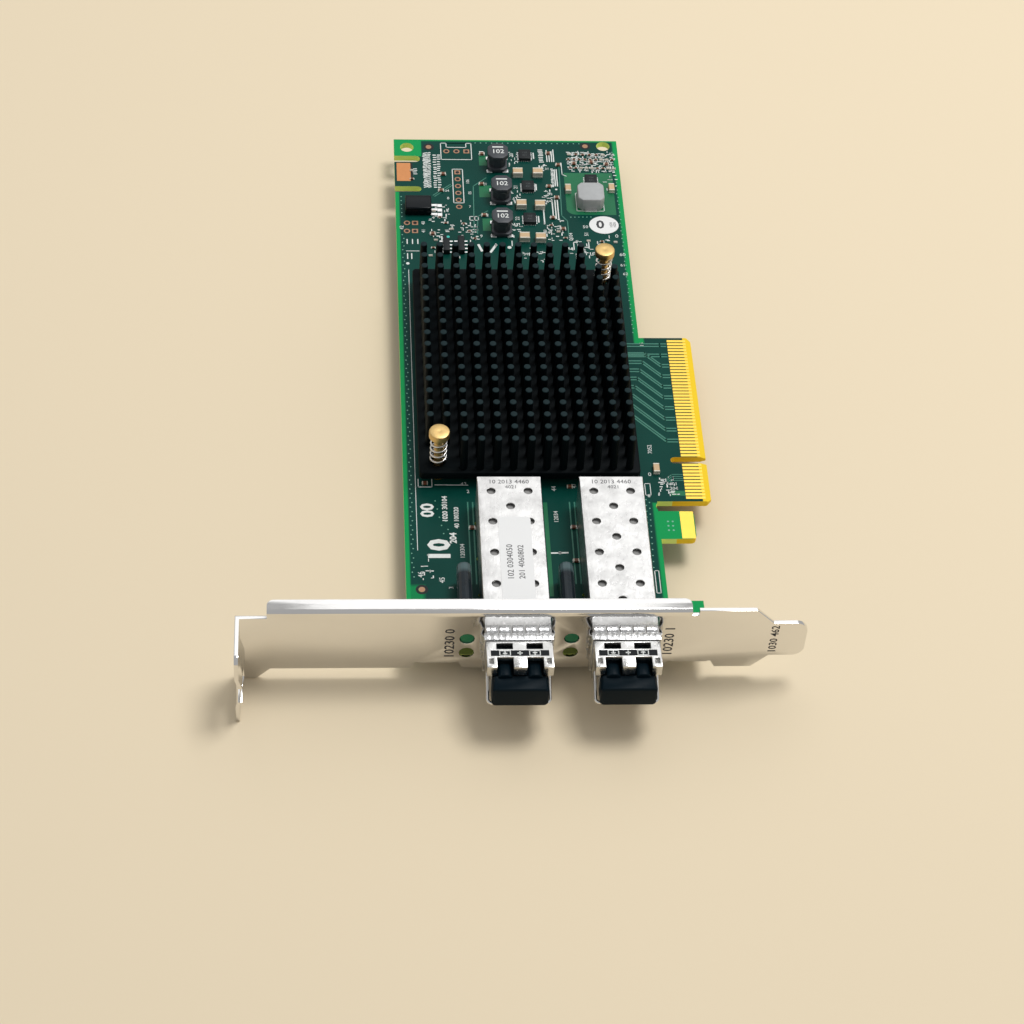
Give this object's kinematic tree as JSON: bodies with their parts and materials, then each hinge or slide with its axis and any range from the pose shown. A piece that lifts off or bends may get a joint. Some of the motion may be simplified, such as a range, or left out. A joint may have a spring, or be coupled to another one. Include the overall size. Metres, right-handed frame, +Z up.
{
  "type": "fibre channel adapter",
  "caption": "Plug-in circuit card with an end bracket, optical ports with transceivers and dust plugs, and a pin heat sink, for linking a server to storage.",
  "frame": {"origin": "bottom centre of the box round the whole card, lying with its components up", "axes": "+Y away from the bracket along the card, +X towards the edge contacts, +Z up from the component side"},
  "size_m": [0.12, 0.1826, 0.0216],
  "materials": {
    "board_green": "solder mask over glass laminate",
    "contact_gold": "hard gold plate",
    "bracket_steel": "bright nickel plated steel",
    "screw_steel": "zinc plated",
    "cage_steel": "bright tin plated sheet",
    "collar_steel": "bright spring sheet",
    "connector_black": "moulded",
    "pipe_clear": "smoky clear moulding",
    "lamp_white": "clear epoxy",
    "sink_black": "black anodised",
    "pad_grey": "filled silicone",
    "chip_black": "moulded epoxy",
    "pin_brass": "turned brass",
    "spring_steel": "bright wire",
    "inductor_black": "pressed iron powder, painted",
    "inductor_grey": "pressed iron powder",
    "capacitor_tan": "ceramic with tinned ends",
    "part_mixed": "small surface parts",
    "label_white": "smooth paper",
    "housing_zinc": "nickel plated die casting",
    "strip_black": "printed strip",
    "barrel_steel": "turned stainless steel",
    "plug_black": "soft moulded plastic"
  },
  "bodies": {
    "root": {"circuit_board": "board_green", "edge_contacts": "contact_gold", "mounting_bracket": "bracket_steel", "bracket_screws": "screw_steel", "status_lamps": "lamp_white", "heat_sink": "sink_black", "thermal_pad": "pad_grey", "controller_chip": "chip_black", "push_pin_front": "pin_brass", "push_pin_rear": "pin_brass", "pin_spring_front": "spring_steel", "pin_spring_rear": "spring_steel", "power_inductors": "inductor_black", "grey_inductor": "inductor_grey", "regulator_chips": "chip_black", "power_switch": "chip_black", "memory_chips": "chip_black", "ceramic_capacitors": "capacitor_tan", "small_components": "part_mixed", "cage_label": "label_white", "board_sticker": "label_white", "light_pipe_0": "pipe_clear", "cage_0": "cage_steel", "cage_collar_0": "collar_steel", "port_connector_0": "connector_black", "light_pipe_1": "pipe_clear", "cage_1": "cage_steel", "cage_collar_1": "collar_steel", "port_connector_1": "connector_black"},
    "transceiver_0": {"transceiver_housing_0": "housing_zinc", "marker_strip_0": "strip_black", "transceiver_cover_0": "cage_steel", "transceiver_board_0": "board_green", "optical_barrels_0": "barrel_steel", "latch_lever_0": "cage_steel"},
    "bail_0": {"bail_0": "spring_steel"},
    "dust_plug_0": {"dust_plug_0": "plug_black"},
    "transceiver_1": {"transceiver_housing_1": "housing_zinc", "marker_strip_1": "strip_black", "transceiver_cover_1": "cage_steel", "transceiver_board_1": "board_green", "optical_barrels_1": "barrel_steel", "latch_lever_1": "cage_steel"},
    "bail_1": {"bail_1": "spring_steel"},
    "dust_plug_1": {"dust_plug_1": "plug_black"}
  },
  "joints": [
    {"name": "transceiver_slide_0", "type": "slide", "parent": "root", "child": "transceiver_0", "axis": [0, -1, 0], "range_m": [0, 0.048]},
    {"name": "dust_plug_slide_0", "type": "slide", "parent": "transceiver_0", "child": "dust_plug_0", "axis": [0, -1, 0], "range_m": [0, 0.012]},
    {"name": "bail_hinge_0", "type": "hinge", "parent": "transceiver_0", "child": "bail_0", "pos_m": [-0.00122, -0.08363, 0.0108], "axis": [1, 0, 0], "range_deg": [-2, 20]},
    {"name": "transceiver_slide_1", "type": "slide", "parent": "root", "child": "transceiver_1", "axis": [0, -1, 0], "range_m": [0, 0.048]},
    {"name": "dust_plug_slide_1", "type": "slide", "parent": "transceiver_1", "child": "dust_plug_1", "axis": [0, -1, 0], "range_m": [0, 0.012]},
    {"name": "bail_hinge_1", "type": "hinge", "parent": "transceiver_1", "child": "bail_1", "pos_m": [0.02127, -0.08363, 0.0108], "axis": [1, 0, 0], "range_deg": [-2, 20]}
  ]
}
